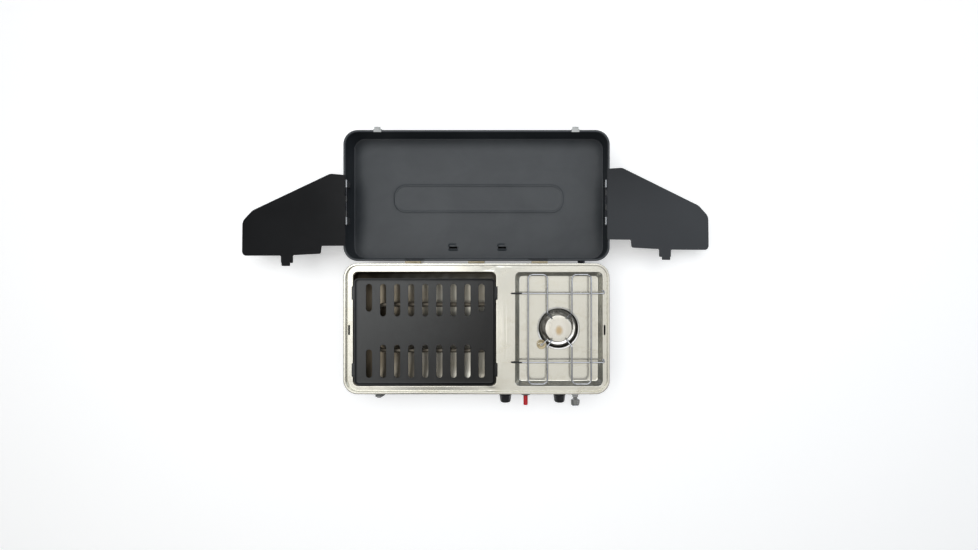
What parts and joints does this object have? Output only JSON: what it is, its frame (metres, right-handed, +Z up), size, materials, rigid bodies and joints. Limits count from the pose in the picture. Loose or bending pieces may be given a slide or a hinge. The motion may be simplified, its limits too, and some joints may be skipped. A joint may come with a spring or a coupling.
{
  "type": "folding camp grill",
  "caption": "Flat folding gas camp grill: slotted griddle beside a round burner under a wire grate, hinged lid laid open, two wind panels hinged to the lid.",
  "frame": {"origin": "centre of the flat panel stamped in the case's underside, 8 mm above what its rubber feet stand on", "axes": "+X along the case towards the burner, +Y from the control side to the lid's hinge, +Z up"},
  "size_m": [1.1174, 0.6463, 0.1009],
  "materials": {
    "rubber": "matte black rubber",
    "lead_rubber": "satin black insulation",
    "case_paint": "satin black powder coat",
    "lid_paint": "satin slate powder coat",
    "wing_paint": "matte charcoal powder coat",
    "stainless": "bright stainless, finely brushed",
    "griddle_coat": "satin non-stick coating",
    "cap_steel": "turned steel with a straw heat tint",
    "aluminium": "plain",
    "brass": "plain machined",
    "zinc_yellow": "yellow passivated zinc plate",
    "ceramic": "white glazed",
    "black_plastic": "fine grained",
    "red_plastic": "glossy red",
    "chrome": "bright plated"
  },
  "bodies": {
    "base": {"base_shell": "case_paint", "deck_plate": "stainless", "foot_front_left": "rubber", "foot_front_right": "rubber", "foot_back_left": "rubber", "foot_back_right": "rubber", "firebox_tray": "stainless", "griddle_burner": "cap_steel", "burner_bowl": "chrome", "burner_head": "aluminium", "burner_cap": "cap_steel", "electrode_bracket": "zinc_yellow", "electrode_ceramic": "ceramic", "electrode_tip": "chrome", "ignition_lead": "lead_rubber", "igniter_body": "black_plastic", "igniter_bezel": "black_plastic", "valve_left": "brass", "valve_right": "brass", "gas_manifold": "brass", "supply_pipe": "aluminium", "gas_inlet": "brass", "griddle_feed": "aluminium", "burner_feed": "aluminium", "hinge_leaf_base_1": "zinc_yellow", "hinge_leaf_base_2": "zinc_yellow", "hinge_leaf_base_3": "zinc_yellow", "hinge_pin_1": "chrome", "hinge_pin_2": "chrome", "hinge_pin_3": "chrome", "latch_plate_left": "chrome", "latch_plate_right": "chrome"},
    "lid": {"lid_shell": "lid_paint", "hinge_leaf_lid_1": "zinc_yellow", "hinge_leaf_lid_2": "zinc_yellow", "hinge_leaf_lid_3": "zinc_yellow", "keeper_left": "chrome", "keeper_right": "chrome", "wing_sleeve_left_1": "chrome", "wing_sleeve_left_2": "chrome", "wing_sleeve_right_1": "chrome", "wing_sleeve_right_2": "chrome"},
    "left_wing_pin": {"wing_pin_left": "chrome"},
    "left_wing": {"wing_left": "wing_paint"},
    "right_wing_pin": {"wing_pin_right": "chrome"},
    "right_wing": {"wing_right": "wing_paint"},
    "left_knob": {"knob_left": "black_plastic", "valve_stem_left": "chrome"},
    "right_knob": {"knob_right": "black_plastic", "valve_stem_right": "chrome"},
    "igniter_button": {"igniter_button": "red_plastic"},
    "griddle": {"griddle": "griddle_coat"},
    "grate": {"grate_bar_front": "chrome", "grate_bar_back": "chrome", "grate_loop_left": "chrome", "grate_loop_right": "chrome"},
    "left_latch_lever": {"latch_lever_left": "chrome"},
    "left_latch_bail": {"latch_bail_left": "chrome"},
    "right_latch_lever": {"latch_lever_right": "chrome"},
    "right_latch_bail": {"latch_bail_right": "chrome"}
  },
  "joints": [
    {"name": "lid_hinge", "type": "hinge", "parent": "base", "child": "lid", "pos_m": [0, 0.1525, 0.087], "axis": [1, 0, 0], "range_deg": [0, 180]},
    {"name": "left_wing_swing", "type": "hinge", "parent": "lid", "child": "left_wing_pin", "pos_m": [-0.294, 0.2885, 0.09], "axis": [0, 1, 0], "range_deg": [0, 188]},
    {"name": "left_wing_lift", "type": "slide", "parent": "left_wing_pin", "child": "left_wing", "axis": [0, 1, 0], "range_m": [0, 0.018]},
    {"name": "right_wing_swing", "type": "hinge", "parent": "lid", "child": "right_wing_pin", "pos_m": [0.294, 0.2885, 0.09], "axis": [0, -1, 0], "range_deg": [0, 201]},
    {"name": "right_wing_lift", "type": "slide", "parent": "right_wing_pin", "child": "right_wing", "axis": [0, 1, 0], "range_m": [-0.0143, 0.0037]},
    {"name": "left_knob_turn", "type": "hinge", "parent": "base", "child": "left_knob", "pos_m": [0.065, -0.15, 0.054], "axis": [0, -1, 0], "range_deg": [0, 210]},
    {"name": "right_knob_turn", "type": "hinge", "parent": "base", "child": "right_knob", "pos_m": [0.1926, -0.15, 0.054], "axis": [0, -1, 0], "range_deg": [0, 210]},
    {"name": "igniter_press", "type": "slide", "parent": "base", "child": "igniter_button", "axis": [0, 1, 0], "range_m": [0, 0.006], "stiffness_N_per_m": 900},
    {"name": "griddle_lift", "type": "slide", "parent": "base", "child": "griddle", "axis": [0, 0, -1], "range_m": [-0.12, 0]},
    {"name": "grate_lift", "type": "slide", "parent": "base", "child": "grate", "axis": [0, 0, -1], "range_m": [-0.1, 0]},
    {"name": "left_latch_swing", "type": "hinge", "parent": "base", "child": "left_latch_lever", "pos_m": [-0.226, -0.1555, 0.079], "axis": [-1, 0, 0], "range_deg": [0, 105]},
    {"name": "left_bail_swing", "type": "hinge", "parent": "left_latch_lever", "child": "left_latch_bail", "pos_m": [-0.226, -0.1593, 0.074], "axis": [1, 0, 0], "range_deg": [-170, 0]},
    {"name": "right_latch_swing", "type": "hinge", "parent": "base", "child": "right_latch_lever", "pos_m": [0.226, -0.1555, 0.079], "axis": [-1, 0, 0], "range_deg": [-90, 15]},
    {"name": "right_bail_swing", "type": "hinge", "parent": "right_latch_lever", "child": "right_latch_bail", "pos_m": [0.226, -0.1605, 0.0828], "axis": [1, 0, 0], "range_deg": [-120, 0]}
  ]
}
